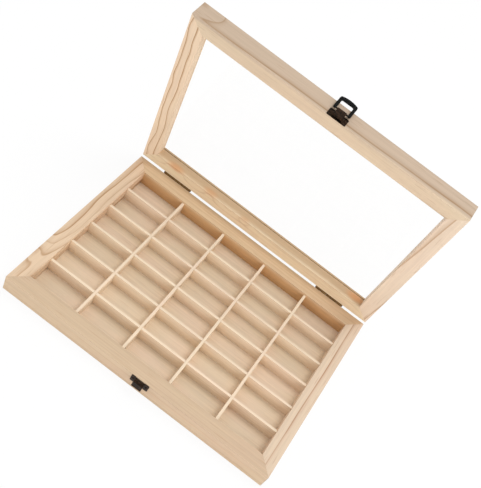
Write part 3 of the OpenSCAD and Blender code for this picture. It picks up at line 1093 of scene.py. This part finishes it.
def makeLever():
    use = latch
    low, high = shutBox("latch_lever")
    sheetY = leverPin.y - use["eyeRadius"]
    lever = addUpright("latchLever", (low.x, sheetY, leverPin.z), (high.x, sheetY, bailBar.z))

    def curl(centre, axis):
        mesh = edit(lever)
        choose(lever, mesh, lambda spot, e: all(
            near(v.co.z, centre.z) and near(v.co.y, sheetY) for v in e.verts))
        rollRound(centre, (axis, 0, 0), use["rolled"], use["rollSteps"])
        done()

    curl(bailBar, -1)
    curl(leverPin, 1)
    thicken(lever, use["leverSheet"])
    easeEdges(lever, **sheetEase)
    swingOpen(lever)
    fit(lever, "latch_lever", bronze, "latch_lever")


bail = dict(
    leg=0.00335, thickness=0.0015,
    reach=0.013,  # from the bar to the near edge of the crossbar
    bow=0.024,  # radius of the crossbar's far edge
    bowSides=180, bowDepth=0.01,  # of the round block that cuts it
    corner=0.0046, cornerSteps=10, windowCorner=0.0015,
    foot=0.49, footSteps=6,  # rounding of a leg's end, of its width
    ease=dict(width=0.00035, steps=3, angle=40),
    barBite=0.0005,  # how far the bar reaches into a leg
    cutBeyond=0.001,  # past both faces, so that the window comes out clean
    beadRadius=0.0006, beadHeight=0.0004, beadSides=16, beadSteps=24,
)


def makeBead(bowMiddle, bow, halfWidth, front):
    # a bead that follows the bow along the middle of the crossbar
    use = bail
    turn = math.asin((halfWidth - use["beadRadius"]) / bow)
    start = bowMiddle + Vector((-math.sin(turn) * bow, 0, math.cos(turn) * bow))
    start.y = front - use["beadHeight"] + use["beadRadius"]
    bpy.ops.object.select_all(action="DESELECT")
    bpy.ops.mesh.primitive_circle_add(vertices=use["beadSides"], radius=use["beadRadius"], fill_type="NGON",
                                      location=start, rotation=(0, math.radians(90) - turn, 0))
    bead = named("bead")
    edit(bead, "FACE")
    bpy.ops.mesh.select_all(action="SELECT")
    rollRound((bowMiddle.x, start.y, bowMiddle.z), (0, 1, 0), math.degrees(2 * turn), use["beadSteps"])
    bpy.ops.mesh.select_all(action="SELECT")
    bpy.ops.mesh.normals_make_consistent(inside=False)
    done()
    return bead


def makeBail():
    use = bail
    low, high = shutBox("latch_bail")
    front, back = bailBar.y - use["thickness"] / 2, bailBar.y + use["thickness"] / 2
    loop = addBlock("latchBail", (low.x, front, low.z), (high.x, back, high.z))
    roundCorners(loop, use["corner"], use["cornerSteps"], lambda spot: near(spot.z, high.z))
    bowMiddle = Vector((bailBar.x, bailBar.y, high.z - use["bow"]))
    bpy.ops.object.select_all(action="DESELECT")
    bpy.ops.mesh.primitive_cylinder_add(vertices=use["bowSides"], radius=use["bow"], depth=use["bowDepth"],
                                        location=bowMiddle, rotation=(math.radians(90), 0, 0))
    boolean(loop, named("bowCutter"), "INTERSECT")
    windowTop = bailBar.z + use["reach"]
    beyond = use["cutBeyond"]
    window = addBlock("window", (low.x + use["leg"], front - beyond, low.z - 2 * beyond),
                      (high.x - use["leg"], back + beyond, windowTop))
    roundCorners(window, use["windowCorner"], cornerSteps, lambda spot: near(spot.z, windowTop))
    takeAway(loop, window)
    roundCorners(loop, use["leg"] * use["foot"], use["footSteps"], lambda spot: near(spot.z, low.z))
    easeEdges(loop, **use["ease"])
    inside = high.x - low.x - 2 * use["leg"]
    weldOn(loop, addRod("bar", bailBar, latch["pinRadius"], inside + 2 * use["barBite"]))
    crossbarMiddle = (windowTop + high.z) / 2
    weldOn(loop, makeBead(bowMiddle, crossbarMiddle - bowMiddle.z, inside / 2, front))
    swingOpen(loop)
    fit(loop, "latch_bail", blackBronze, "latch_bail")


hook = dict(
    sheet=0.0008, corner=0.0012, tongueWidth=0.0115,
    room=0.0036,  # inside the fold
    foldSteps=14,
    straight=0.0066,  # of the tongue, past the fold
    flare=0.0005, lip=0.0008,  # how far its end turns out, and how long that is
)


def makeHook():
    use = hook
    low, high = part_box("hook_plate")
    middleX = (low.x + high.x) / 2
    sheetY = railFront - use["sheet"] / 2
    foldRadius = (use["room"] + use["sheet"]) / 2
    foldZ = high.z - foldRadius - use["sheet"] / 2
    plate = addUpright("hookPlate", (low.x, sheetY, low.z), (high.x, sheetY, high.z))
    for side in (-1, 1):
        score(plate, (middleX + side * use["tongueWidth"] / 2, 0, 0), (1, 0, 0))
    score(plate, (0, 0, foldZ), (0, 0, 1))

    def isTip(spot):
        atSide = near(spot.x, low.x) or near(spot.x, high.x)
        return atSide and (near(spot.z, low.z) or near(spot.z, high.z))

    roundTips(plate, use["corner"], isTip)
    mesh = edit(plate, "FACE")
    choose(plate, mesh, lambda spot, f: near(spot.x, middleX) and spot.z > foldZ, "faces")
    bpy.ops.mesh.delete(type="FACE")
    mesh = edit(plate)
    choose(plate, mesh, lambda spot, e: near(spot.x, middleX) and all(near(v.co.z, foldZ) for v in e.verts))
    rollRound((0, sheetY - foldRadius, foldZ), (1, 0, 0), 180, use["foldSteps"])
    extrude((0, 0, -use["straight"]))
    extrude((0, -use["flare"], -use["lip"]))
    done()
    thicken(plate, use["sheet"])
    easeEdges(plate, **sheetEase)
    fit(plate, "tray", bronze, "hook_plate")
    fromMiddle = (high.x - low.x + use["tongueWidth"]) / 4
    middleZ = (low.z + high.z) / 2
    spots = [Vector((middleX + s * fromMiddle, railFront - use["sheet"], middleZ)) for s in (-1, 1)]
    makeScrewGroup("hookScrews", latch["screw"], spots, facingFront, "tray", bronze, "hook_screws")


makeLatchPlate()
makeLatchPin()
makeLever()
makeBail()
makeHook()
print("latch made")
